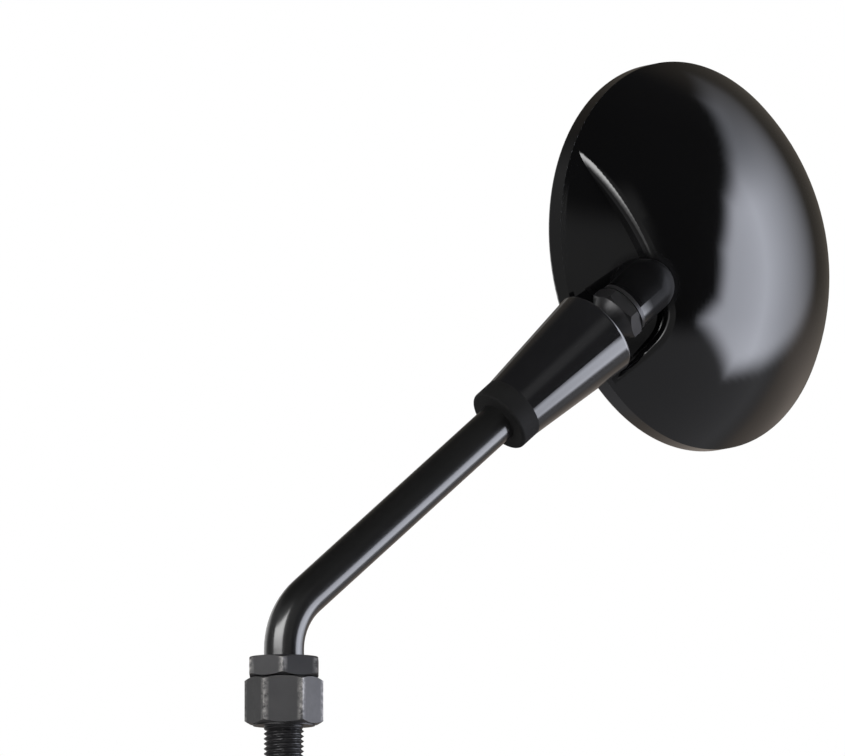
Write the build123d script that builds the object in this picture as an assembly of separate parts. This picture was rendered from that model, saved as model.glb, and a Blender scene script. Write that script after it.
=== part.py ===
from build123d import *
import os
from math import cos, radians, sin, sqrt, tan

# A round mirror for a handlebar: a domed head on a ball joint, a straight stem and an M10 base.
# Millimetres. The origin is on the seat of the mounting thread, +Z runs up that thread, the stem
# leans outboard along +X, and the glass looks back along +Y.

# Base: an adapter that screws into the handlebar, and the nut that locks the stem in it
MOUNT_THREAD_DIA = 10.0
MOUNT_THREAD_LENGTH = 14.0
ADAPTER_FLATS = 17.0
ADAPTER_HEIGHT = 12.0
ADAPTER_FLOOR = 3.0
ADAPTER_SHOULDER = 0.8
LOCK_NUT_HEIGHT = 5.0
EDGE_BREAK = 0.5

# Stem: a bent round bar with a turned-down end that carries the joint's housing
STEM_DIA = 10.0
STEM_UPRIGHT = 1.8
STEM_BEND_RADIUS = 18.0
STEM_RISE = 40.3
STEM_REACH = 111.0
STEM_END_DIA = 8.0

# Ball joint, measured along the stem from the ball's centre, towards the head
BALL_DIA = 16.0
MOUTH_ABOVE_BALL = 6.5
LINER_WALL = 1.15
LINER_TOP_ANGLE = 58.0
LINER_BOTTOM_ANGLE = 100.0
RETAINER_LIP_ANGLE = 50.0
RETAINER_WALL = 0.95
RETAINER_RECESS = 0.2
RETAINER_BEVEL = 1.1
SPANNER_SLOT_WIDTH = 2.0
SPANNER_SLOT_DEPTH = 1.2
CUP_RIM_BELOW_BALL = 4.3
CUP_HEIGHT = 5.2
SPRING_COUNT = 4
SPRING_THICKNESS = 0.6
SPRING_CONE = 0.35
SPRING_HOLE_DIA = 8.4
SPRING_DIA = 17.2
SPRING_PLATE_THICKNESS = 1.0
END_NUT_FLATS = 13.0
END_NUT_HEIGHT = 3.5
PARTITION_THICKNESS = 2.5
END_SOCKET_DEPTH = 4.5
SLEEVE_MOUTH_DIA = 23.4
SLEEVE_TAIL_DIA = 17.4
SLEEVE_MOUTH_ROUND = 0.9
COLLAR_LENGTH = 5.85
COLLAR_ROUND = 0.8

# Ball stud and the shell's boss that takes its thread
NECK_DIA = 7.6
NECK_TOP = 9.0
FLANGE_BOTTOM = 12.5
FLANGE_HEIGHT = 3.5
FLANGE_FLATS = 13.0
STUD_WASHER_THICKNESS = 1.0
STUD_THREAD_DIA = 8.0
STUD_THREAD_LENGTH = 9.5
STUD_HOLE_SPARE = 0.5
BOSS_DIA = 14.0
BOSS_LENGTH = 8.5

# Head: how far the housing's mouth lies beyond its rim and in front of it, and how it is turned
MOUTH_BEYOND_RIM = 5.1
MOUTH_DIRECTION = 207.0
HEAD_BEHIND = 10.0
HEAD_TOE_OUT = 17.5
HEAD_RISE = 3.6
HEAD_DIA = 100.0
DOME_EDGE_ANGLE = 50.0
SHELL_WALL = 2.2
FLANK_HIGH_DIRECTION = 152.0
FLANK_LOW_DIRECTION = 225.0
FLANK_CORNER_DIRECTION = 220.0
FLANK_CORNER_INSET = 16.6
FLANK_CORNER_ROUND = 8.0
FLANK_CREASE_ROUND = 3.0
FLANK_EDGE = 0.5
FLANK_SLOPE = 30.0
SPIGOT_DEPTH = 1.2
SPIGOT_WALL = 1.8

# Glass, what holds it, and the plate behind it
BEZEL_WALL = 1.5
BEZEL_LIP_THICKNESS = 0.8
BEZEL_LIP_WIDTH = 3.0
BEZEL_ROUND = 1.0
GLASS_THICKNESS = 2.0
GLASS_CURVE_RADIUS = 1200.0
GASKET_THICKNESS = 0.6
PLATE_THICKNESS = 1.5
PLATE_BEHIND_SPIGOT = 0.6
PAD_INSET = 1.5
SCREW_INSET = 13.0
SCREW_ANGLES = (0.0, 110.0, 250.0)
SCREW_THREAD_DIA = 3.0
SCREW_HEAD_DIA = 5.6
SCREW_LENGTH = 8.0
SCREW_DRIVE_WIDTH = 0.9
SCREW_DRIVE_DEPTH = 0.7
POST_DIA = 7.0

# Clearances
RUNNING_FIT = 0.05
SEAT_GAP = 0.1
NUT_GAP = 0.2
PLATE_GAP = 0.8


def turned(*points):
    """A solid of revolution about Z from (radius, height) corners."""
    outline = Polyline(*[(radius, 0, height) for radius, height in points], close=True)
    return revolve(make_face(outline), axis=Axis.Z)


def ring(outer_dia, inner_dia, bottom, top):
    """A plain ring about Z between two heights."""
    inner, outer = inner_dia / 2, outer_dia / 2
    return turned((inner, bottom), (outer, bottom), (outer, top), (inner, top))


def rod(diameter, bottom, top):
    """A plain round bar about Z between two heights."""
    return turned((0, bottom), (diameter / 2, bottom), (diameter / 2, top), (0, top))


def hexagon_bar(flats, bottom, top):
    """A hexagonal bar about Z with its six corners turned off at both ends."""
    corner = flats / sqrt(3)
    bar = extrude(Pos(0, 0, bottom) * RegularPolygon(corner, 6), top - bottom)
    slope = (corner - flats / 2) * tan(radians(30))
    crown = turned(
        (0, bottom), (flats / 2, bottom), (corner, bottom + slope),
        (corner, top - slope), (flats / 2, top), (0, top),
    )
    return bar & crown


def on_sphere(radius, angle):
    """The (radius, height) point of a sphere, at an angle from its upper pole."""
    return radius * sin(radians(angle)), radius * cos(radians(angle))


def zone(outer_radius, inner_radius, top_angle, bottom_angle):
    """A band of a hollow ball between two angles from its upper pole, cut along its radii."""
    middle = (top_angle + bottom_angle) / 2
    outer = [on_sphere(outer_radius, angle) for angle in (top_angle, middle, bottom_angle)]
    inner = [on_sphere(inner_radius, angle) for angle in (bottom_angle, middle, top_angle)]
    outline = [
        ThreePointArc(*[(radius, 0, height) for radius, height in outer]),
        Line((outer[2][0], 0, outer[2][1]), (inner[0][0], 0, inner[0][1])),
        ThreePointArc(*[(radius, 0, height) for radius, height in inner]),
        Line((inner[2][0], 0, inner[2][1]), (outer[0][0], 0, outer[0][1])),
    ]
    return revolve(make_face(outline), axis=Axis.Z)


# Frames: the stem's bend, the ball joint along the stem, and the head
STEM_AXIS = Vector(cos(radians(STEM_RISE)), 0, sin(radians(STEM_RISE)))
BEND_SETBACK = STEM_BEND_RADIUS * tan(radians(90 - STEM_RISE) / 2)
LOCK_NUT_BOTTOM = ADAPTER_HEIGHT + NUT_GAP
BEND_CORNER = Vector(0, 0, LOCK_NUT_BOTTOM + LOCK_NUT_HEIGHT + STEM_UPRIGHT + BEND_SETBACK)
BALL_CENTRE = BEND_CORNER + STEM_AXIS * STEM_REACH

HEAD_FRONT = Vector(
    sin(radians(HEAD_TOE_OUT)) * cos(radians(HEAD_RISE)),
    -cos(radians(HEAD_TOE_OUT)) * cos(radians(HEAD_RISE)),
    sin(radians(HEAD_RISE)),
)
HEAD_SIDE = Vector(cos(radians(HEAD_TOE_OUT)), sin(radians(HEAD_TOE_OUT)), 0)
HEAD_UP = HEAD_FRONT.cross(HEAD_SIDE)
HEAD_RADIUS = HEAD_DIA / 2
MOUTH_OFFSET = HEAD_RADIUS + MOUTH_BEYOND_RIM
HEAD_CENTRE = (
    BALL_CENTRE
    + STEM_AXIS * MOUTH_ABOVE_BALL
    - HEAD_SIDE * MOUTH_OFFSET * cos(radians(MOUTH_DIRECTION))
    - HEAD_UP * MOUTH_OFFSET * sin(radians(MOUTH_DIRECTION))
    - HEAD_FRONT * HEAD_BEHIND
)
HEAD = Plane(origin=HEAD_CENTRE, x_dir=HEAD_SIDE, z_dir=HEAD_FRONT)

SWING_AXIS = (HEAD_FRONT - STEM_AXIS * HEAD_FRONT.dot(STEM_AXIS)).normalized()
NOD_AXIS = STEM_AXIS.cross(SWING_AXIS)
JOINT = Plane(origin=BALL_CENTRE, x_dir=SWING_AXIS, z_dir=STEM_AXIS)

# Sizes that several pieces of the ball joint share
BALL_RADIUS = BALL_DIA / 2
LINER_INSIDE = BALL_RADIUS + RUNNING_FIT
LINER_OUTSIDE = LINER_INSIDE + LINER_WALL
SEAT_RADIUS = LINER_OUTSIDE + RUNNING_FIT
SLEEVE_BORE_DIA = 2 * (SEAT_RADIUS + RUNNING_FIT)
RETAINER_DIA = SLEEVE_BORE_DIA + 2 * RETAINER_WALL
CUP_BOTTOM = -CUP_RIM_BELOW_BALL - CUP_HEIGHT
SPRING_PITCH = SPRING_THICKNESS + SPRING_CONE + RUNNING_FIT
SPRING_BOTTOM = CUP_BOTTOM - RUNNING_FIT - SPRING_COUNT * SPRING_PITCH
SPRING_STEP = SPRING_BOTTOM - SPRING_PLATE_THICKNESS
END_NUT_TOP = SPRING_STEP - SEAT_GAP
PARTITION_TOP = END_NUT_TOP - END_NUT_HEIGHT
PARTITION_BOTTOM = PARTITION_TOP - PARTITION_THICKNESS
SLEEVE_TAIL = PARTITION_BOTTOM - END_SOCKET_DEPTH
FLANGE_TOP = FLANGE_BOTTOM + FLANGE_HEIGHT
BOSS_FACE = FLANGE_TOP + STUD_WASHER_THICKNESS

# Sizes that several pieces of the head share
DOME_RADIUS = HEAD_RADIUS / sin(radians(DOME_EDGE_ANGLE))
DOME_CENTRE = -DOME_RADIUS * cos(radians(DOME_EDGE_ANGLE))
SPIGOT_DIA = HEAD_DIA - 2 * (BEZEL_WALL + SEAT_GAP)
CAVITY_DIA = SPIGOT_DIA - 2 * SPIGOT_WALL
BEZEL_OPENING_DIA = HEAD_DIA - 2 * BEZEL_LIP_WIDTH
SCREW_CIRCLE_RADIUS = HEAD_RADIUS - SCREW_INSET
GLASS_DIA = HEAD_DIA - 2 * (BEZEL_WALL + SEAT_GAP)
GLASS_RADIUS = GLASS_DIA / 2
GLASS_EDGE_BACK = -SPIGOT_DEPTH - SEAT_GAP
GLASS_EDGE_FRONT = GLASS_EDGE_BACK - GLASS_THICKNESS
BEZEL_HEIGHT = GASKET_THICKNESS + SEAT_GAP + BEZEL_LIP_THICKNESS - GLASS_EDGE_FRONT
GLASS_CURVE_CENTRE = GLASS_EDGE_FRONT + sqrt(GLASS_CURVE_RADIUS**2 - GLASS_RADIUS**2)
PLATE_FRONT = -SPIGOT_DEPTH + PLATE_BEHIND_SPIGOT
PLATE_BACK = PLATE_FRONT + PLATE_THICKNESS
FLANK_LEAN = tan(radians(FLANK_SLOPE))
FLANK_WALL_RISE = SHELL_WALL / cos(radians(FLANK_SLOPE))
PLATE_ROOM = (PLATE_BACK + PLATE_GAP + FLANK_WALL_RISE - FLANK_EDGE) / FLANK_LEAN
PLATE_DIA = HEAD_DIA - 2 * PLATE_ROOM
PAD_DIA = PLATE_DIA - 2 * PAD_INSET


def base_adapter():
    """A hexagonal adapter: a male thread below its seat, a threaded hole for the stem above."""
    hexagon = hexagon_bar(ADAPTER_FLATS, 0, ADAPTER_HEIGHT)
    hexagon -= rod(STEM_DIA + 2 * RUNNING_FIT, ADAPTER_FLOOR, ADAPTER_HEIGHT)
    seat = ADAPTER_FLATS / 2 - ADAPTER_SHOULDER
    hexagon -= ring(2 * ADAPTER_FLATS, 2 * seat, 0, ADAPTER_SHOULDER / 2)
    end = MOUNT_THREAD_DIA / 2
    thread = turned(
        (0, 0), (end, 0), (end, EDGE_BREAK - MOUNT_THREAD_LENGTH),
        (end - EDGE_BREAK, -MOUNT_THREAD_LENGTH), (0, -MOUNT_THREAD_LENGTH),
    )
    return hexagon + thread


def lock_nut():
    """The thin nut that clamps the stem in the adapter."""
    top = LOCK_NUT_BOTTOM + LOCK_NUT_HEIGHT
    return hexagon_bar(ADAPTER_FLATS, LOCK_NUT_BOTTOM, top) - rod(STEM_DIA + 2 * RUNNING_FIT, 0, top)


def stem_rod():
    """One round bar: threaded tail, bend, long straight run, and a turned-down threaded end."""
    tail = ADAPTER_FLOOR + SEAT_GAP
    shoulder = BALL_CENTRE + STEM_AXIS * PARTITION_BOTTOM
    path = FilletPolyline((0, 0, tail), BEND_CORNER, shoulder, radius=STEM_BEND_RADIUS)
    bar = sweep(Plane(origin=(0, 0, tail), z_dir=(0, 0, 1)) * Circle(STEM_DIA / 2), path=path)
    bar = chamfer(bar.edges().sort_by(Axis.Z)[:1], EDGE_BREAK)
    return bar + JOINT * rod(STEM_END_DIA, PARTITION_BOTTOM, SPRING_STEP - SEAT_GAP)


def stem_end_nut():
    """The thin nut inside the housing, on the stem's turned-down end."""
    bore = rod(STEM_END_DIA + 2 * RUNNING_FIT, PARTITION_TOP, END_NUT_TOP)
    return JOINT * (hexagon_bar(END_NUT_FLATS, PARTITION_TOP, END_NUT_TOP) - bore)


def stem_collar():
    """The soft ring that closes the housing's narrow end round the stem."""
    bottom = SLEEVE_TAIL - COLLAR_LENGTH
    collar = ring(SLEEVE_TAIL_DIA, STEM_DIA + 2 * RUNNING_FIT, bottom, SLEEVE_TAIL)
    outer_edge = collar.edges().filter_by(GeomType.CIRCLE).group_by(Axis.Z)[0].sort_by(SortBy.RADIUS)[-1]
    return JOINT * fillet(outer_edge, COLLAR_ROUND)


def socket_sleeve():
    """The tapered housing: stem socket, partition, nut chamber, spring bore and threaded mouth."""
    chamber = END_NUT_FLATS / sqrt(3) + NUT_GAP * 2
    bore = SLEEVE_BORE_DIA / 2
    mouth_bore = RETAINER_DIA / 2 + RUNNING_FIT
    end_hole = STEM_END_DIA / 2 + RUNNING_FIT
    socket = STEM_DIA / 2 + RUNNING_FIT
    sleeve = turned(
        (socket, SLEEVE_TAIL), (SLEEVE_TAIL_DIA / 2, SLEEVE_TAIL),
        (SLEEVE_MOUTH_DIA / 2, MOUTH_ABOVE_BALL), (mouth_bore, MOUTH_ABOVE_BALL),
        (mouth_bore, 0), (bore, 0), (bore, SPRING_STEP), (chamber, SPRING_STEP),
        (chamber, PARTITION_TOP), (end_hole, PARTITION_TOP),
        (end_hole, PARTITION_BOTTOM), (socket, PARTITION_BOTTOM),
    )
    mouth_edges = sleeve.edges().filter_by(GeomType.CIRCLE).group_by(Axis.Z)[-1]
    mouth_round = min(SLEEVE_MOUTH_ROUND, (SLEEVE_MOUTH_DIA / 2 - mouth_bore) * 2 / 3)
    return JOINT * fillet(mouth_edges.sort_by(SortBy.RADIUS)[-1], mouth_round)


def ball_retainer():
    """The threaded ring in the mouth that holds the liner down on the ball, with two spanner slots."""
    top = MOUTH_ABOVE_BALL - RETAINER_RECESS
    lip = on_sphere(SEAT_RADIUS, RETAINER_LIP_ANGLE)
    middle = on_sphere(SEAT_RADIUS, (RETAINER_LIP_ANGLE + 90) / 2)
    edge = RETAINER_DIA / 2
    outline = [
        ThreePointArc((SEAT_RADIUS, 0, 0), (middle[0], 0, middle[1]), (lip[0], 0, lip[1])),
        Polyline(
            (lip[0], 0, lip[1]), (lip[0] + RETAINER_BEVEL, 0, top), (edge, 0, top), (edge, 0, 0),
            (SEAT_RADIUS, 0, 0),
        ),
    ]
    retainer = revolve(make_face(outline), axis=Axis.Z)
    retainer -= Pos(0, 0, top) * Box(RETAINER_DIA * 2, SPANNER_SLOT_WIDTH, SPANNER_SLOT_DEPTH * 2)
    return JOINT * retainer


def ball_liner():
    """The plastic band between the ball and its seat."""
    return JOINT * zone(LINER_OUTSIDE, LINER_INSIDE, LINER_TOP_ANGLE, LINER_BOTTOM_ANGLE)


def pressure_cup():
    """The cup that the springs push against the ball's underside."""
    block = rod(SLEEVE_BORE_DIA - 2 * RUNNING_FIT, CUP_BOTTOM, -CUP_RIM_BELOW_BALL)
    return JOINT * (block - Sphere(LINER_INSIDE))


def disc_springs():
    """Coned spring washers, stacked in turn cup up and cup down."""
    hole = SPRING_HOLE_DIA / 2
    edge = SPRING_DIA / 2
    discs = []
    for number in range(SPRING_COUNT):
        bottom = SPRING_BOTTOM + number * SPRING_PITCH
        inner_rise = SPRING_CONE * (number % 2)
        outer_rise = SPRING_CONE - inner_rise
        discs.append(JOINT * turned(
            (hole, bottom + inner_rise), (edge, bottom + outer_rise),
            (edge, bottom + outer_rise + SPRING_THICKNESS), (hole, bottom + inner_rise + SPRING_THICKNESS),
        ))
    return Compound(children=discs)


def spring_plate():
    """The flat washer that the springs bear on, on the step in the housing's bore."""
    outside = SLEEVE_BORE_DIA - 2 * SEAT_GAP
    hole = STEM_END_DIA + 2 * SEAT_GAP
    return JOINT * ring(outside, hole, SPRING_STEP, SPRING_BOTTOM)


def ball_stud():
    """The ball, its waisted neck, a hexagon for the spanner and the thread into the shell's boss."""
    neck = NECK_DIA / 2
    root = FLANGE_FLATS / 2
    waist = turned((0, 0), (neck, 0), (neck, NECK_TOP), (root, FLANGE_BOTTOM), (0, FLANGE_BOTTOM))
    thread = rod(STUD_THREAD_DIA, FLANGE_TOP, BOSS_FACE + STUD_THREAD_LENGTH)
    hexagon = hexagon_bar(FLANGE_FLATS, FLANGE_BOTTOM, FLANGE_TOP)
    return JOINT * (Sphere(BALL_RADIUS) + waist + hexagon + thread)


def stud_washer():
    """The washer between the stud's hexagon and the boss."""
    return JOINT * ring(BOSS_DIA, STUD_THREAD_DIA + 2 * SEAT_GAP, FLANGE_TOP, BOSS_FACE)


def in_plan(radius, direction):
    """A point of the head's plane, by its radius and its direction in degrees."""
    return Vector(radius * cos(radians(direction)), radius * sin(radians(direction)), 0)


def flank_cut(inset):
    """What is cut off the dome's inner flank: a wide notch in plan, down to a cone that falls to the rim."""
    corner = in_plan(HEAD_RADIUS - FLANK_CORNER_INSET, FLANK_CORNER_DIRECTION)
    high = (in_plan(HEAD_RADIUS, FLANK_HIGH_DIRECTION) - corner).normalized()
    low = (in_plan(HEAD_RADIUS, FLANK_LOW_DIRECTION) - corner).normalized()
    plan = make_face(Polyline(corner, corner + high * 2 * HEAD_DIA, corner + low * 2 * HEAD_DIA, close=True))
    plan = fillet(plan.vertices().sort_by_distance(corner)[:1], FLANK_CORNER_ROUND)
    if inset:
        plan = offset(plan, inset)
    notch = Pos(0, 0, -HEAD_RADIUS) * extrude(plan, 2 * HEAD_DIA, dir=(0, 0, 1))
    top = FLANK_EDGE + HEAD_RADIUS * FLANK_LEAN - inset / cos(radians(FLANK_SLOPE))
    bottom = top - HEAD_DIA * FLANK_LEAN
    return notch - turned((0, bottom), (HEAD_DIA, bottom), (0, top))


def dome(radius, bottom):
    """A solid cap of a ball round the head's own centre of curvature, above a height."""
    cap = Pos(0, 0, DOME_CENTRE) * Rot(90, 0, 0) * Sphere(radius)
    return cap & Pos(0, 0, bottom) * Box(
        2 * HEAD_DIA, 2 * HEAD_DIA, HEAD_DIA, align=(Align.CENTER, Align.CENTER, Align.MIN)
    )


def screw_places():
    """The three screws' places in the head's plane."""
    return [Rot(0, 0, angle) * Pos(SCREW_CIRCLE_RADIUS, 0, 0) for angle in SCREW_ANGLES]


def stud_boss():
    """The boss for the ball stud, which turns at a round knuckle and stands square on the flank."""
    to_head = HEAD.location.inverse() * JOINT.location
    nose = BOSS_FACE + BOSS_LENGTH
    knuckle = (to_head * Pos(0, 0, nose)).position
    along = (knuckle - to_head.position).normalized()
    outward = Vector(knuckle.X, knuckle.Y, 0)
    square = outward.normalized() * sin(radians(FLANK_SLOPE)) + Vector(0, 0, cos(radians(FLANK_SLOPE)))
    flank_height = FLANK_EDGE + (HEAD_RADIUS - outward.length) * FLANK_LEAN
    foot = (knuckle.Z - flank_height) * cos(radians(FLANK_SLOPE)) + SHELL_WALL / 2
    boss = to_head * rod(BOSS_DIA, BOSS_FACE, nose)
    boss += Plane(origin=knuckle, z_dir=along - square) * Sphere(BOSS_DIA / 2)
    boss += Plane(origin=knuckle, z_dir=-square) * rod(BOSS_DIA, 0, foot)
    hole_end = BOSS_FACE + STUD_THREAD_LENGTH + STUD_HOLE_SPARE
    hole = rod(STUD_THREAD_DIA + 2 * RUNNING_FIT, BOSS_FACE, hole_end)
    return boss, to_head * hole


def mirror_shell():
    """The domed shell with its cut flank, ball-stud boss, screw posts and the spigot for the bezel."""
    outside = dome(DOME_RADIUS, 0) - flank_cut(0)
    corner = in_plan(HEAD_RADIUS - FLANK_CORNER_INSET, FLANK_CORNER_DIRECTION)
    above_corner = corner + Vector(0, 0, sqrt(DOME_RADIUS**2 - corner.length**2) + DOME_CENTRE)
    outside = fillet(outside.edges().sort_by_distance(above_corner)[:1], FLANK_CREASE_ROUND)
    boss, stud_hole = stud_boss()
    cavity = dome(DOME_RADIUS - SHELL_WALL, -SPIGOT_DEPTH) & rod(CAVITY_DIA, -SPIGOT_DEPTH, HEAD_DIA)
    cavity -= flank_cut(SHELL_WALL)
    cavity -= boss
    screw_hole_end = PLATE_FRONT + SCREW_LENGTH + SEAT_GAP
    for place in screw_places():
        cavity -= place * rod(POST_DIA, PLATE_BACK, HEAD_DIA)
    shell = outside + boss + rod(SPIGOT_DIA, -SPIGOT_DEPTH, 0) - cavity - stud_hole
    for place in screw_places():
        shell -= place * rod(SCREW_THREAD_DIA + 2 * RUNNING_FIT, PLATE_BACK, screw_hole_end)
    return HEAD * shell


def rim_bezel():
    """The ring that snaps over the shell's spigot, with a lip in front of the glass."""
    outer = HEAD_RADIUS
    inner = HEAD_RADIUS - BEZEL_WALL
    opening = BEZEL_OPENING_DIA / 2
    bezel = turned(
        (inner, 0), (outer, 0), (outer, -BEZEL_HEIGHT), (opening, -BEZEL_HEIGHT),
        (opening, BEZEL_LIP_THICKNESS - BEZEL_HEIGHT), (inner, BEZEL_LIP_THICKNESS - BEZEL_HEIGHT),
    )
    front_edges = bezel.edges().filter_by(GeomType.CIRCLE).group_by(Axis.Z)[0]
    return HEAD * fillet(front_edges.sort_by(SortBy.RADIUS)[-1], BEZEL_ROUND)


def glass_ball(offset):
    """The ball that a face of the glass is part of, at an offset behind the front face."""
    return Pos(0, 0, GLASS_CURVE_CENTRE) * Rot(90, 0, 0) * Sphere(GLASS_CURVE_RADIUS - offset)


def glass_gasket():
    """The rubber ring between the bezel's lip and the glass."""
    lip = BEZEL_LIP_THICKNESS - BEZEL_HEIGHT
    flat_ring = ring(GLASS_DIA, BEZEL_OPENING_DIA, lip, GLASS_EDGE_BACK)
    return HEAD * (flat_ring - glass_ball(-SEAT_GAP))


def mirror_glass():
    """The convex mirror glass, of one thickness all over."""
    disc = rod(GLASS_DIA, -BEZEL_HEIGHT, 0)
    return HEAD * (disc & glass_ball(0) - glass_ball(GLASS_THICKNESS))


def glass_pad():
    """The foam pad that bonds the glass to its plate: flat behind, hollowed to the glass in front."""
    disc = rod(PAD_DIA, -BEZEL_HEIGHT, PLATE_FRONT)
    return HEAD * (disc & glass_ball(GLASS_THICKNESS + SEAT_GAP / 2))


def screw_blank(head_dia, thread_dia, length):
    """A countersunk screw's outline, head down at the plate's front and thread up into the post."""
    head = head_dia / 2
    shank = thread_dia / 2
    cone = head - shank
    return turned((0, 0), (head, 0), (shank, cone), (shank, length), (0, length))


def backing_plate():
    """The stamped plate behind the glass, with three countersunk holes."""
    plate = rod(PLATE_DIA, PLATE_FRONT, PLATE_BACK)
    room = 2 * RUNNING_FIT
    for place in screw_places():
        seat = screw_blank(SCREW_HEAD_DIA + room, SCREW_THREAD_DIA + room, SCREW_LENGTH)
        plate -= place * Pos(0, 0, PLATE_FRONT) * seat
    return HEAD * plate


def plate_screws():
    """Three countersunk screws with a straight slot, through the plate into the shell's posts."""
    screws = []
    for place in screw_places():
        screw = screw_blank(SCREW_HEAD_DIA, SCREW_THREAD_DIA, SCREW_LENGTH)
        screw -= Box(2 * SCREW_HEAD_DIA, SCREW_DRIVE_WIDTH, 2 * SCREW_DRIVE_DEPTH)
        screws.append(HEAD * (place * Pos(0, 0, PLATE_FRONT) * screw))
    return Compound(children=screws)


NODES = {
    "base_adapter": base_adapter,
    "lock_nut": lock_nut,
    "stem_rod": stem_rod,
    "stem_end_nut": stem_end_nut,
    "stem_collar": stem_collar,
    "socket_sleeve": socket_sleeve,
    "ball_retainer": ball_retainer,
    "ball_liner": ball_liner,
    "pressure_cup": pressure_cup,
    "disc_springs": disc_springs,
    "spring_plate": spring_plate,
    "ball_stud": ball_stud,
    "stud_washer": stud_washer,
    "mirror_shell": mirror_shell,
    "rim_bezel": rim_bezel,
    "glass_gasket": glass_gasket,
    "mirror_glass": mirror_glass,
    "glass_pad": glass_pad,
    "backing_plate": backing_plate,
    "plate_screws": plate_screws,
}

os.makedirs("parts", exist_ok=True)
for name, make in NODES.items():
    export_step(make(), f"parts/{name}.step")
print("ball centre", BALL_CENTRE, "stem axis", STEM_AXIS)
print("head centre", HEAD_CENTRE, "front", HEAD_FRONT)
print("swing axis", SWING_AXIS, "nod axis", NOD_AXIS)
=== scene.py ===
import math

import bmesh
import bpy
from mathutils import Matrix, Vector


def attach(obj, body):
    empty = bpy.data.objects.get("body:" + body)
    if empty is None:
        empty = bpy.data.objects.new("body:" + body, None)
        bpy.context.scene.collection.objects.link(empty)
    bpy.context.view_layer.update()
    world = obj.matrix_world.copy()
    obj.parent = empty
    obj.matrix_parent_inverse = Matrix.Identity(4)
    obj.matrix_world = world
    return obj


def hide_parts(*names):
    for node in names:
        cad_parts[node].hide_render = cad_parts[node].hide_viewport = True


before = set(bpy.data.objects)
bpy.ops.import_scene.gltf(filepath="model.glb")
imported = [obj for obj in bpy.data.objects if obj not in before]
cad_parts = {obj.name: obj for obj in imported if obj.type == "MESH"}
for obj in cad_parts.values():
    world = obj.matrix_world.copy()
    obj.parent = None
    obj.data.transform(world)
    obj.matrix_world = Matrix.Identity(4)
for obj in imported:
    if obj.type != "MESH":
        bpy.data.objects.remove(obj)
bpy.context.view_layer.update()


# Base adapter: a hexagon of black-plated steel that screws into the handlebar. Its M10 thread is
# rolled, its hexagon is milled and the corners are turned off at both ends.
# The plating has rubbed thin on the corners, where a spanner has been.
class Value:
    """A shader socket that takes part in sums: each sum adds a Math node to its tree."""

    def __init__(self, socket):
        self.socket = socket

    def maths(self, operation, *terms):
        """Adds one Math node over sockets and plain numbers."""
        tree = self.socket.id_data
        node = tree.nodes.new("ShaderNodeMath")
        node.operation = operation
        for socket, term in zip(node.inputs, terms):
            if isinstance(term, Value):
                tree.links.new(term.socket, socket)
            else:
                socket.default_value = term
        return Value(node.outputs[0])

    def __add__(self, other):
        return self.maths("ADD", self, other)

    def __radd__(self, other):
        return self.maths("ADD", other, self)

    def __sub__(self, other):
        return self.maths("SUBTRACT", self, other)

    def __rsub__(self, other):
        return self.maths("SUBTRACT", other, self)

    def __mul__(self, other):
        return self.maths("MULTIPLY", self, other)

    def __truediv__(self, other):
        return self.maths("DIVIDE", self, other)

    def power(self, exponent):
        return self.maths("POWER", self, exponent)

    def above(self, other):
        return self.maths("MAXIMUM", self, other)

    def held(self):
        """Kept between 0 and 1."""
        return self.maths("MINIMUM", self.maths("MAXIMUM", self, 0.0), 1.0)


class Finish:
    """The node tree of one finish, or of one light on the stage."""

    def __init__(self, owner):
        owner.use_nodes = True
        self.tree = owner.node_tree
        self.tree.nodes.clear()

    def node(self, kind, settings=None, output=0, **sockets):
        """Adds one node with its settings and inputs, and gives back one of its outputs."""
        made = self.tree.nodes.new("ShaderNode" + kind)
        for name, setting in (settings or {}).items():
            setattr(made, name, setting)
        for name, value in sockets.items():
            wanted = name.replace("_", " ")
            socket = next(s for s in made.inputs if s.name == wanted and s.enabled)
            if isinstance(value, Value):
                self.tree.links.new(value.socket, socket)
            else:
                socket.default_value = value
        shown = [s for s in made.outputs if s.enabled]
        return Value(shown[output]) if shown else None

    def mix(self, share, first, second):
        settings = {"data_type": "RGBA", "clamp_factor": True}
        return self.node("Mix", settings, Factor=share, A=first, B=second)

    def place(self):
        """The point on the piece as it lies at rest, in metres from the part's origin."""
        return self.node("TexCoord", output=3)

    def noise(self, scale, detail=2.0, roughness=0.5):
        return self.node(
            "TexNoise", Vector=self.place(), Scale=scale, Detail=detail, Roughness=roughness
        )

    def bump(self, height, distance, strength):
        return self.node("Bump", Height=height, Distance=distance, Strength=strength)

    def surface(self, **sockets):
        shader = self.node("BsdfPrincipled", **sockets)
        self.node("OutputMaterial", Surface=shader)


def dress(material, *nodes):
    """Puts one finish on CAD pieces, all over."""
    for name in nodes:
        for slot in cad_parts[name].material_slots:
            slot.material = material


rubbed_from = 0.00915
rubbed_over = 0.0006
black_plating = bpy.data.materials.new("black_plating")
finish = Finish(black_plating)
x, y = [finish.node("SeparateXYZ", output=i, Vector=finish.place()) for i in range(2)]
from_axis = (x * x + y * y).power(0.5)
grain = finish.noise(900.0, 4.0, 0.6)
rubbed = ((from_axis - rubbed_from) / rubbed_over).held() * (grain * 2.6 - 0.9).held()
finish.surface(
    Base_Color=finish.mix(
        rubbed,
        finish.mix(finish.noise(160.0, 3.0), (0.022, 0.022, 0.024, 1), (0.045, 0.044, 0.045, 1)),
        (0.34, 0.33, 0.32, 1),
    ),
    Metallic=0.55 + rubbed * 0.45,
    Roughness=0.33 + grain * 0.2 - rubbed * 0.1,
    Normal=finish.bump(grain, 0.00002, 0.5),
)

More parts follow.
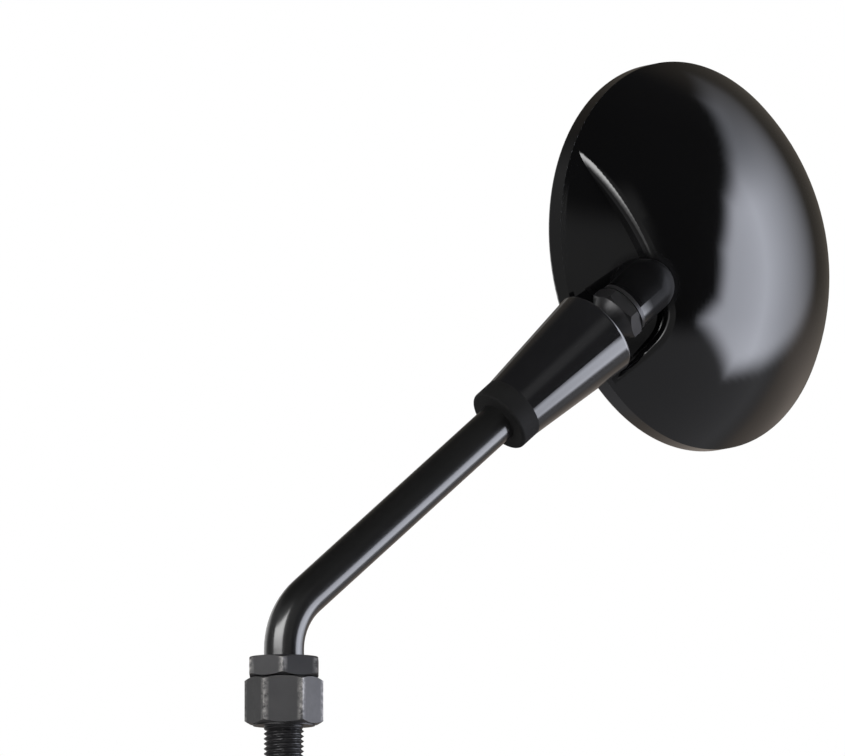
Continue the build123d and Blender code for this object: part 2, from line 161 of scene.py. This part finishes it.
across_flats = 0.017
adapter_height = 0.012
seat_radius = 0.0077
seat_step = 0.0004
thread_radius = 0.005
thread_depth = 0.00068
thread_pitch = 0.00125
thread_length = 0.014
thread_lead_in = 0.0009
thread_run_out = 0.0012
thread_rows = 140
flank_slope = 1.35
crest_flat = 0.12
stem_hole_radius = 0.00505
stem_hole_floor = 0.003
crown_angle = math.radians(30)
crisp_angle = math.radians(30)
around = 120


def hexagon_radius(angle):
    """Distance from the middle of the hexagon to its side, in one direction."""
    turn = math.radians(60)
    return across_flats / 2 / math.cos((angle + turn / 2) % turn - turn / 2)


def thread_wave(height, angle):
    """0 at the thread's crest and 1 at its root, along the rolled helix."""
    phase = (height / thread_pitch - angle / (2 * math.pi)) % 1.0
    return min(1.0, max(0.0, flank_slope * (1 - abs(2 * phase - 1)) - crest_flat))


def skin(name, rows):
    """A mesh from rows of points round an axis, each joined to the next, with both ends closed."""
    mesh = bmesh.new()
    rings = [[mesh.verts.new(point) for point in row] for row in rows]
    for lower, upper in zip(rings, rings[1:]):
        for i in range(len(lower)):
            j = (i + 1) % len(lower)
            mesh.faces.new((lower[i], lower[j], upper[j], upper[i]))
    mesh.faces.new(rings[0][::-1])
    mesh.faces.new(rings[-1])
    bmesh.ops.recalc_face_normals(mesh, faces=mesh.faces)
    data = bpy.data.meshes.new(name)
    mesh.to_mesh(data)
    mesh.free()
    piece = bpy.data.objects.new(name, data)
    bpy.context.scene.collection.objects.link(piece)
    return piece


angles = [2 * math.pi * i / around for i in range(around)]
crown = math.tan(crown_angle)
rows = []
for step in range(thread_rows + 1):
    height = -thread_length + thread_length * step / thread_rows
    lead_in = max(0.0, thread_lead_in - (height + thread_length))
    run_out = max(0.0, (height + thread_run_out) / thread_run_out)
    row = []
    for a in angles:
        cut = max(lead_in, thread_depth * (1 - run_out) * thread_wave(height, a))
        row.append(((thread_radius - cut) * math.cos(a), (thread_radius - cut) * math.sin(a), height))
    rows.append(row)
outline = [
    (lambda a: seat_radius, lambda a: 0.0),
    (lambda a: seat_radius, lambda a: seat_step),
    (lambda a: across_flats / 2, lambda a: seat_step),
    (hexagon_radius, lambda a: seat_step + crown * (hexagon_radius(a) - across_flats / 2)),
    (hexagon_radius, lambda a: adapter_height - crown * (hexagon_radius(a) - across_flats / 2)),
    (lambda a: across_flats / 2, lambda a: adapter_height),
    (lambda a: stem_hole_radius, lambda a: adapter_height),
    (lambda a: stem_hole_radius, lambda a: stem_hole_floor),
]
for radius_at, height_at in outline:
    rows.append([
        (radius_at(a) * math.cos(a), radius_at(a) * math.sin(a), height_at(a)) for a in angles
    ])
threaded_adapter = skin("threaded_adapter", rows)
threaded_adapter.data.shade_smooth()
threaded_adapter.data.set_sharp_from_angle(angle=crisp_angle)
threaded_adapter.data.materials.append(black_plating)
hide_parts("base_adapter")
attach(threaded_adapter, "base")


# Lock nut: a thin hexagon nut on the stem's tail, screwed down on the adapter so that the stem
# stays at its angle. Same black plating as the adapter.
dress(black_plating, "lock_nut")


# Stem: one bent round bar with a black coat that is baked on, semi-gloss and with a fine orange
# peel. It is a little cloudy, as such coats are.
satin_coat = bpy.data.materials.new("satin_coat")
finish = Finish(satin_coat)
peel = finish.noise(1400.0, 2.0)
cloud = finish.noise(35.0, 3.0, 0.55)
finish.surface(
    Base_Color=finish.mix(cloud, (0.004, 0.004, 0.0042, 1), (0.008, 0.0078, 0.0078, 1)),
    Roughness=0.28 + cloud * 0.1,
    Specular_IOR_Level=0.25,
    Coat_Weight=0.75 + cloud * 0.2,
    Coat_Roughness=0.1,
    Coat_IOR=1.5,
    Normal=finish.bump(peel, 0.00001, 0.15),
)
dress(satin_coat, "stem_rod")


# Joint housing: a tapered sleeve on the stem's end, turned from steel and coated with the stem.
# The coat lies smoother here, so its reflections are tighter.
housing_coat = bpy.data.materials.new("housing_coat")
finish = Finish(housing_coat)
peel = finish.noise(1100.0, 2.0)
cloud = finish.noise(50.0, 3.0, 0.55)
finish.surface(
    Base_Color=finish.mix(cloud, (0.007, 0.007, 0.008, 1), (0.012, 0.012, 0.013, 1)),
    Roughness=0.14 + cloud * 0.08,
    Specular_IOR_Level=0.25,
    Coat_Weight=0.9 + cloud * 0.1,
    Coat_Roughness=0.06,
    Coat_IOR=1.5,
    Normal=finish.bump(peel, 0.00001, 0.15),
)
dress(housing_coat, "socket_sleeve")


# Collar: a soft rubber ring that closes the housing's narrow end round the stem, so that no
# water runs in. Moulded, matt, with a little grey bloom.
# The gasket between the bezel and the glass is the same rubber.
soft_rubber = bpy.data.materials.new("soft_rubber")
finish = Finish(soft_rubber)
skin_grain = finish.noise(2200.0, 3.0, 0.6)
bloom = finish.noise(120.0, 3.0, 0.6)
finish.surface(
    Base_Color=finish.mix(bloom, (0.003, 0.003, 0.003, 1), (0.009, 0.009, 0.009, 1)),
    Roughness=0.62 + skin_grain * 0.2,
    Specular_IOR_Level=0.15,
    Normal=finish.bump(skin_grain, 0.00004, 0.5),
)
dress(soft_rubber, "stem_collar", "glass_gasket")


# End nut, spring plate and disc springs: plain bright steel inside the housing. The nut holds the
# housing on the stem, and the coned springs press the cup against the ball.
# The plate and its screws behind the glass are the same steel.
bright_steel = bpy.data.materials.new("bright_steel")
finish = Finish(bright_steel)
brushing = finish.node(
    "TexNoise",
    Vector=finish.node("Mapping", Vector=finish.place(), Scale=(60.0, 60.0, 2400.0)),
    Scale=1.0, Detail=3.0,
)
tarnish = finish.noise(90.0, 4.0, 0.6)
finish.surface(
    Base_Color=finish.mix(tarnish, (0.50, 0.50, 0.51, 1), (0.62, 0.61, 0.60, 1)),
    Metallic=1.0,
    Roughness=0.26 + brushing * 0.14 + tarnish * 0.06,
    Normal=finish.bump(brushing, 0.00001, 0.4),
)
dress(bright_steel, "stem_end_nut", "spring_plate", "disc_springs", "backing_plate", "plate_screws")


# Cup and liner: moulded bearing plastic, off-white and slightly waxy, on which the ball turns.
# The springs press the cup up under the ball, and the liner is a band round the ball.
bearing_plastic = bpy.data.materials.new("bearing_plastic")
finish = Finish(bearing_plastic)
mottle = finish.noise(300.0, 3.0)
finish.surface(
    Base_Color=finish.mix(mottle, (0.74, 0.73, 0.69, 1), (0.82, 0.81, 0.77, 1)),
    Roughness=0.38 + mottle * 0.16,
    Normal=finish.bump(mottle, 0.00002, 0.3),
)
dress(bearing_plastic, "pressure_cup", "ball_liner")


# Retainer, ball stud and its washer: turned steel with black plating. The ring in the housing's
# mouth holds the liner down on the ball, and the stud's hexagon takes the spanner that turns it
# into the shell.
turned_black = bpy.data.materials.new("turned_black")
finish = Finish(turned_black)
fine = finish.noise(1300.0, 3.0, 0.6)
patches = finish.noise(220.0, 3.0, 0.55)
finish.surface(
    Base_Color=finish.mix(patches, (0.018, 0.018, 0.020, 1), (0.036, 0.035, 0.036, 1)),
    Metallic=0.5,
    Roughness=0.26 + patches * 0.14 + fine * 0.05,
    Normal=finish.bump(fine, 0.00002, 0.4),
)
dress(turned_black, "ball_retainer", "ball_stud", "stud_washer")


# Shell: the domed back of the head, moulded, with a notched inner flank and a round boss for the
# stud. It is sprayed deep gloss black, with the faintest orange peel under the clear coat.
# The spray lies thin and dull on the boss. The bezel round the glass is sprayed with the shell.
boss_knuckle = (0.1041, 0.0, 0.1156)
boss_reach = 0.0115
boss_fade = 0.003
gloss_black = bpy.data.materials.new("gloss_black")
finish = Finish(gloss_black)
offsets = [
    finish.node("SeparateXYZ", output=i, Vector=finish.place()) - middle
    for i, middle in enumerate(boss_knuckle)
]
from_knuckle = sum(offset * offset for offset in offsets).power(0.5)
dull = ((boss_reach - from_knuckle) / boss_fade).held()
peel = finish.noise(420.0, 2.0)
film = finish.noise(28.0, 4.0, 0.6)
finish.surface(
    Base_Color=finish.mix(film, (0.0018, 0.0018, 0.002, 1), (0.0032, 0.0032, 0.0035, 1)),
    Roughness=0.10 + film * 0.06 + dull * 0.4,
    Specular_IOR_Level=0.06,
    Coat_Weight=(0.92 + film * 0.08) * (1.0 - dull * 0.95),
    Coat_Roughness=0.03,
    Coat_IOR=1.5,
    Normal=finish.bump(peel, 0.00001, 0.12),
)
dress(gloss_black, "mirror_shell", "rim_bezel")


# Glass: a convex disc of thin float glass with a silvered back, held at its edge by the bezel.
# A trace of haze lies on it.
silvered_glass = bpy.data.materials.new("silvered_glass")
finish = Finish(silvered_glass)
haze = finish.noise(60.0, 4.0, 0.65)
finish.surface(
    Base_Color=finish.mix(haze, (0.86, 0.88, 0.89, 1), (0.90, 0.91, 0.92, 1)),
    Metallic=1.0,
    Roughness=0.012 + haze * 0.02,
)
dress(silvered_glass, "mirror_glass")


# Pad: black closed-cell foam that bonds the glass to its plate. It is hidden inside the head, and
# its cut cells show as a fine pitted skin.
foam = bpy.data.materials.new("foam")
finish = Finish(foam)
cells = finish.node("TexVoronoi", Vector=finish.place(), Scale=1800.0)
finish.surface(
    Base_Color=finish.mix(cells, (0.030, 0.030, 0.031, 1), (0.012, 0.012, 0.012, 1)),
    Roughness=0.85 + cells * 0.1,
    Normal=finish.bump(cells, 0.0001, 0.6),
)
dress(foam, "glass_pad")


# Camera: it stands a little below the head and well back, and looks slightly up at the dome.
# The middle of the head keeps its place in the picture.
camera_turn = math.radians(-28.8)
camera_rise = math.radians(-6.0)
camera_distance = 4.0
pixels_per_metre = 3918.0
picture_width = 845
picture_height = 756
head_pixel = (695.2, 255.3)
film_width = 36.0
head_middle = Vector((0.132962, 0.0257793, 0.127672))
back = Vector((
    math.sin(camera_turn) * math.cos(camera_rise),
    -math.cos(camera_turn) * math.cos(camera_rise),
    math.sin(camera_rise),
))
right = Vector((math.cos(camera_turn), math.sin(camera_turn), 0.0))
up = back.cross(right)
aside = right * (head_pixel[0] - picture_width / 2) + up * (picture_height / 2 - head_pixel[1])
aim = head_middle - aside / pixels_per_metre
camera = bpy.data.objects.new("camera", bpy.data.cameras.new("camera"))
camera.data.sensor_width = film_width
camera.data.lens = pixels_per_metre * film_width * camera_distance / picture_width
camera.data.clip_end = 50.0
camera.location = aim + back * camera_distance
camera.rotation_mode = "QUATERNION"
camera.rotation_quaternion = (-back).to_track_quat("-Z", "Y")
bpy.context.scene.collection.objects.link(camera)
bpy.context.scene.camera = camera


# Floor and world: a pale floor below the part, and a white studio that shows to the eye and in
# the glass, where the tent is open. It lights the rest softly.
floor_height = -1.7
floor_reach = 12.0
floor_mesh = bpy.data.meshes.new("floor")
floor_mesh.from_pydata(
    [(-floor_reach, -floor_reach, floor_height), (floor_reach, -floor_reach, floor_height),
     (floor_reach, floor_reach, floor_height), (-floor_reach, floor_reach, floor_height)],
    [], [(0, 1, 2, 3)],
)
floor = bpy.data.objects.new("floor", floor_mesh)
bpy.context.scene.collection.objects.link(floor)
floor_paint = bpy.data.materials.new("floor_paint")
finish = Finish(floor_paint)
seen = finish.node("LightPath", output=0)
finish.surface(
    Base_Color=finish.mix(finish.noise(3.0), (0.78, 0.78, 0.78, 1), (0.81, 0.81, 0.81, 1)),
    Roughness=0.9,
    Specular_IOR_Level=0.1,
    Emission_Color=finish.mix(seen, (0.0, 0.0, 0.0, 1), (0.5, 0.5, 0.5, 1)),
    Emission_Strength=1.0,
)
floor_mesh.materials.append(floor_paint)

world = bpy.data.worlds.new("studio")
bpy.context.scene.world = world
finish = Finish(world)
seen = finish.node("LightPath", output=0)
polished = finish.node("LightPath", output=3)
through = finish.node("LightPath", output=6)
shown = seen.above(polished).above(through)
studio = finish.node("Background", Color=(1.0, 1.0, 1.0, 1), Strength=0.55 + shown * 0.45)
finish.node("OutputWorld", Surface=studio)
bpy.context.scene.view_settings.view_transform = "Standard"


# Lamps: one large soft lamp high on the right and a weaker one near the camera. Polished faces
# show the tent in their place.
def soft_lamp(name, direction, distance, size, energy):
    """A square area lamp that looks at the head, out of sight of polished faces."""
    lamp = bpy.data.lights.new(name, "AREA")
    lamp.size = size
    lamp.energy = energy
    holder = bpy.data.objects.new(name, lamp)
    towards = (right * direction[0] + up * direction[1] + back * direction[2]).normalized()
    holder.location = head_middle + towards * distance
    holder.rotation_mode = "QUATERNION"
    holder.rotation_quaternion = towards.to_track_quat("Z", "Y")
    holder.visible_glossy = False
    bpy.context.scene.collection.objects.link(holder)


soft_lamp("key_lamp", (0.8, 0.6, 0.3), 1.6, 1.0, 14.0)
soft_lamp("front_lamp", (-0.2, 0.4, 0.9), 1.8, 0.8, 6.0)


# Tent: what the polished black shows. Dark cloth hangs overhead and on the right, grey cloth in
# front and on the left, brown cloth behind. A pale panel glows on the right, and a smaller one at
# the left front lights the flank's crease. The tent is open where the glass looks.
tent_reach = 1.5
tent_turns = [-104 + 2 * i for i in range(181)]
tent_heights = [-84 + 2 * i for i in range(88)]
dark_cloth = Vector((0.03, 0.03, 0.03))
grey_cloth = Vector((0.27, 0.27, 0.27))
brown_cloth = Vector((0.09, 0.08, 0.068))
brown_ground = Vector((0.32, 0.28, 0.25))
grey_ground = Vector((0.40, 0.40, 0.42))
panel_light = Vector((0.86, 0.89, 1.0)) * 6.8
crease_dim = Vector((1.2, 1.2, 1.2))
crease_bright = Vector((10.2, 10.2, 10.2))
right_panel = [
    (-60, 40), (-41, 46.5), (-22.5, 42), (-9, 37), (8.5, 27), (19.4, 10), (21.8, -8.6),
    (30, -17.2), (2.5, -32), (-17, -24), (-31, -15), (-45, -5), (-58, 5), (-66, 20),
]
right_panel_edge = 5.0
crease_panel = [(104, 36), (156, 22), (148, -6), (122, -12), (116, -22), (104, -20)]
crease_panel_edge = 4.0
glass_view = [(204, -36), (204, 14), (248, 20), (248, -36)]
glass_view_edge = 6.0


def share(value, low, high):
    """0 below a range, 1 above it, and a soft rise across it."""
    part = min(1.0, max(0.0, (value - low) / (high - low)))
    return part * part * (3 - 2 * part)


def within(turn, height, corners, soft):
    """1 well inside an outline of (turn, height) corners, 0 well outside it, soft on its edge."""
    inside = False
    nearest = math.inf
    for (t0, h0), (t1, h1) in zip(corners, corners[1:] + corners[:1]):
        wide, high = t1 - t0, h1 - h0
        if (h0 > height) != (h1 > height) and turn < t0 + wide * (height - h0) / high:
            inside = not inside
        along = ((turn - t0) * wide + (height - h0) * high) / (wide**2 + high**2)
        along = min(1.0, max(0.0, along))
        nearest = min(nearest, math.hypot(turn - t0 - along * wide, height - h0 - along * high))
    return share(nearest if inside else -nearest, -soft, soft)


def tent_glow(turn, height):
    """Colour and cover of the tent in one direction: degrees from the right to the front, and up."""
    to_front = math.cos(math.radians(height)) * math.sin(math.radians(turn))
    left = share(turn - 50 - 0.25 * height, -3, 3) * (1 - share(height, 30, 46))
    cloth = dark_cloth.lerp(grey_cloth, left)
    behind = share(-to_front, 0.3, 0.6)
    cloth = cloth.lerp(brown_cloth.lerp(brown_ground, share(-height, -2, 18)), behind)
    ground_edge = 11 + 6 * share(turn, 0, 50)
    below = share(-height, ground_edge, ground_edge + 12)
    cloth = cloth.lerp(grey_ground, below * (1 - behind))
    fade = min(1.0, max(0.0, (to_front + 0.8) / 0.7)) ** 1.5 * (1 - 0.6 * share(height, 20, 40))
    cloth += panel_light * fade * within(turn, height, right_panel, right_panel_edge)
    crease_light = crease_dim.lerp(crease_bright, share(height, -6, 22))
    cloth = cloth.lerp(crease_light, within(turn, height, crease_panel, crease_panel_edge))
    return (*cloth, 1 - within(turn, height, glass_view, glass_view_edge))


points, glows = [], []
for height in tent_heights:
    for turn in tent_turns:
        a, e = math.radians(turn), math.radians(height)
        level = right * math.cos(a) + back * math.sin(a)
        points.append(head_middle + tent_reach * (level * math.cos(e) + up * math.sin(e)))
        glows.append(tent_glow(turn, height))
columns = len(tent_turns)
tent_mesh = bpy.data.meshes.new("tent")
tent_mesh.from_pydata(points, [], [
    (i, i + 1, i + 1 + columns, i + columns)
    for i in range(columns * (len(tent_heights) - 1)) if (i + 1) % columns
])
glow = tent_mesh.attributes.new("glow", "FLOAT_COLOR", "POINT")
for spot, value in zip(glow.data, glows):
    spot.color = value
tent = bpy.data.objects.new("tent", tent_mesh)
bpy.context.scene.collection.objects.link(tent)
tent_cloth = bpy.data.materials.new("tent_cloth")
finish = Finish(tent_cloth)
finish.surface(
    Base_Color=(0.0, 0.0, 0.0, 1),
    Specular_IOR_Level=0.0,
    Emission_Color=finish.node("Attribute", {"attribute_name": "glow"}),
    Emission_Strength=1.0,
    Alpha=finish.node("Attribute", {"attribute_name": "glow"}, output=3),
)
tent_mesh.materials.append(tent_cloth)
tent.visible_camera = False
tent.visible_diffuse = False
tent.visible_shadow = False
